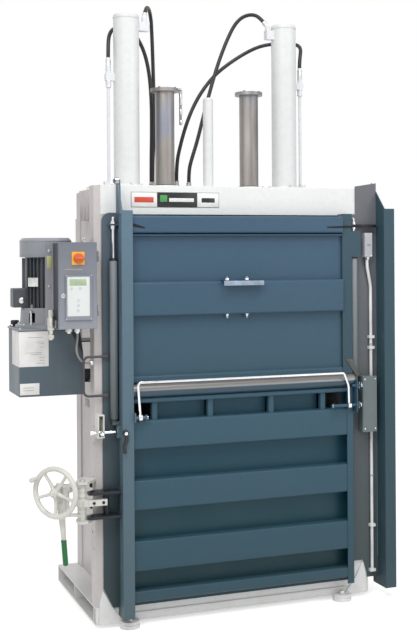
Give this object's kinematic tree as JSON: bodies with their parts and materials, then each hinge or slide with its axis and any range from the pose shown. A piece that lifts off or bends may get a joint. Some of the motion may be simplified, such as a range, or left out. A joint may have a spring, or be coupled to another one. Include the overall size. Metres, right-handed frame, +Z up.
{
  "type": "vertical recycling baler",
  "caption": "Upright downstroke baler: white frame, twin cylinders over a press plate, swinging door with a lifting loading door, side oil unit and control cabinet.",
  "frame": {"origin": "on the floor, at the centre of the four anchor holes", "axes": "+X to the right seen from the front, +Y towards the back, +Z up"},
  "size_m": [1.894, 1.0313, 3.0582],
  "materials": {
    "white_paint": "satin",
    "pale_steel": "satin",
    "blue_grey_paint": "satin",
    "sill_paint": "satin",
    "cylinder_paint": "satin",
    "fittings": "satin",
    "hose_rubber": "matte",
    "cable_grey": "matte",
    "motor_paint": "satin",
    "steel": "satin",
    "cabinet_paint": "satin",
    "plate_white": "satin",
    "red_plastic": "gloss",
    "chrome": "polished",
    "dark_paint": "satin",
    "dark_plastic": "matte"
  },
  "bodies": {
    "press_frame": {"base_frame": "white_paint", "anchor_feet": "pale_steel", "side_frame_left": "white_paint", "side_frame_right": "white_paint", "rear_wall": "white_paint", "bale_floor": "pale_steel", "crosshead": "white_paint", "header_cover": "white_paint", "guide_bushes": "pale_steel", "cylinder_barrels": "cylinder_paint", "cylinder_glands": "pale_steel", "pressure_pipes": "fittings", "hose_manifold": "pale_steel", "hose_left_pipe": "hose_rubber", "hose_left_port": "hose_rubber", "hose_right_port": "hose_rubber", "hose_right_pipe": "hose_rubber", "oil_tank": "blue_grey_paint", "tank_lid": "blue_grey_paint", "pump": "blue_grey_paint", "motor_bell": "motor_paint", "motor_housing": "motor_paint", "motor_cowl": "motor_paint", "cabinet_body": "cabinet_paint", "cable_glands": "fittings", "cabinet_cable": "cable_grey", "hinge_frame_leaves": "white_paint", "lock_brackets": "white_paint", "lock_pin": "pale_steel"},
    "motor_rotor": {"motor_rotor": "steel"},
    "platen": {"platen": "blue_grey_paint", "piston_rods": "chrome", "guide_tubes": "steel", "centre_tube": "steel"},
    "main_door": {"left_post": "blue_grey_paint", "right_post": "blue_grey_paint", "lower_door": "blue_grey_paint", "door_sill": "sill_paint", "hinge_door_leaves": "blue_grey_paint", "hinge_pins": "pale_steel", "switch_box": "dark_plastic", "bracket_box": "blue_grey_paint", "cable_conduit": "white_paint", "strut_tubes": "blue_grey_paint", "pull_handle": "dark_paint"},
    "top_roller": {"top_roller": "dark_plastic"},
    "loading_door": {"loading_door": "blue_grey_paint", "door_handle": "dark_paint", "guide_shoes": "dark_plastic", "strut_rods": "chrome"},
    "bail": {"bail": "chrome"},
    "latch_lever": {"latch_lever": "dark_paint"},
    "lock_lever": {"lock_lever": "white_paint"},
    "hand_wheel": {"hand_wheel": "white_paint"},
    "spinner_knob": {"spinner_knob": "dark_plastic"},
    "ratchet_lever": {"ratchet_lever": "white_paint"},
    "latch_bolt": {"latch_bolt": "white_paint"},
    "cabinet_door": {"cabinet_door": "cabinet_paint", "control_plates": "plate_white"},
    "switch_knob": {"switch_knob": "red_plastic"}
  },
  "joints": [
    {"name": "rotor_spin", "type": "hinge", "parent": "press_frame", "child": "motor_rotor", "pos_m": [-0.896, -0.152, 1.6], "axis": [0, 0, 1], "continuous": true},
    {"name": "platen_travel", "type": "slide", "parent": "press_frame", "child": "platen", "axis": [0, 0, 1], "range_m": [-0.47, 0.385]},
    {"name": "main_door_swing", "type": "hinge", "parent": "press_frame", "child": "main_door", "pos_m": [0.745, -0.36, 1], "axis": [0, 0, 1], "range_deg": [0, 105]},
    {"name": "roller_turn", "type": "hinge", "parent": "main_door", "child": "top_roller", "pos_m": [-0.627, -0.464, 2.104], "axis": [1, 0, 0], "continuous": true},
    {"name": "loading_door_lift", "type": "slide", "parent": "main_door", "child": "loading_door", "axis": [0, 0, 1], "range_m": [0, 0.6]},
    {"name": "bail_swing", "type": "hinge", "parent": "main_door", "child": "bail", "pos_m": [0, -0.486, 0.997], "axis": [1, 0, 0], "range_deg": [0, 75]},
    {"name": "latch_lever_turn", "type": "hinge", "parent": "main_door", "child": "latch_lever", "pos_m": [-0.598, -0.49, 0.93], "axis": [0, 1, 0], "range_deg": [0, 60]},
    {"name": "lock_lever_swing", "type": "hinge", "parent": "press_frame", "child": "lock_lever", "pos_m": [-0.795, -0.44, 0.62], "axis": [0, 0, -1], "range_deg": [0, 75]},
    {"name": "hand_wheel_turn", "type": "hinge", "parent": "lock_lever", "child": "hand_wheel", "pos_m": [-0.929, -0.48, 0.678], "axis": [0.7312, 0.6822, 0], "continuous": true},
    {"name": "knob_spin", "type": "hinge", "parent": "hand_wheel", "child": "spinner_knob", "pos_m": [-0.99508, -0.40918, 0.7362], "axis": [0.7312, 0.6822, 0], "continuous": true},
    {"name": "ratchet_swing", "type": "hinge", "parent": "lock_lever", "child": "ratchet_lever", "pos_m": [-0.929, -0.48, 0.678], "axis": [0.7312, 0.6822, 0], "range_deg": [-60, 60]},
    {"name": "latch_bolt_slide", "type": "slide", "parent": "press_frame", "child": "latch_bolt", "axis": [1, 0, 0], "range_m": [0, 0.018]},
    {"name": "cabinet_door_swing", "type": "hinge", "parent": "press_frame", "child": "cabinet_door", "pos_m": [-0.722, -0.478, 1.62], "axis": [0, 0, 1], "range_deg": [0, 100]},
    {"name": "main_switch_turn", "type": "hinge", "parent": "cabinet_door", "child": "switch_knob", "pos_m": [-0.817, -0.5, 1.745], "axis": [0, -1, 0], "range_deg": [0, 90]}
  ]
}
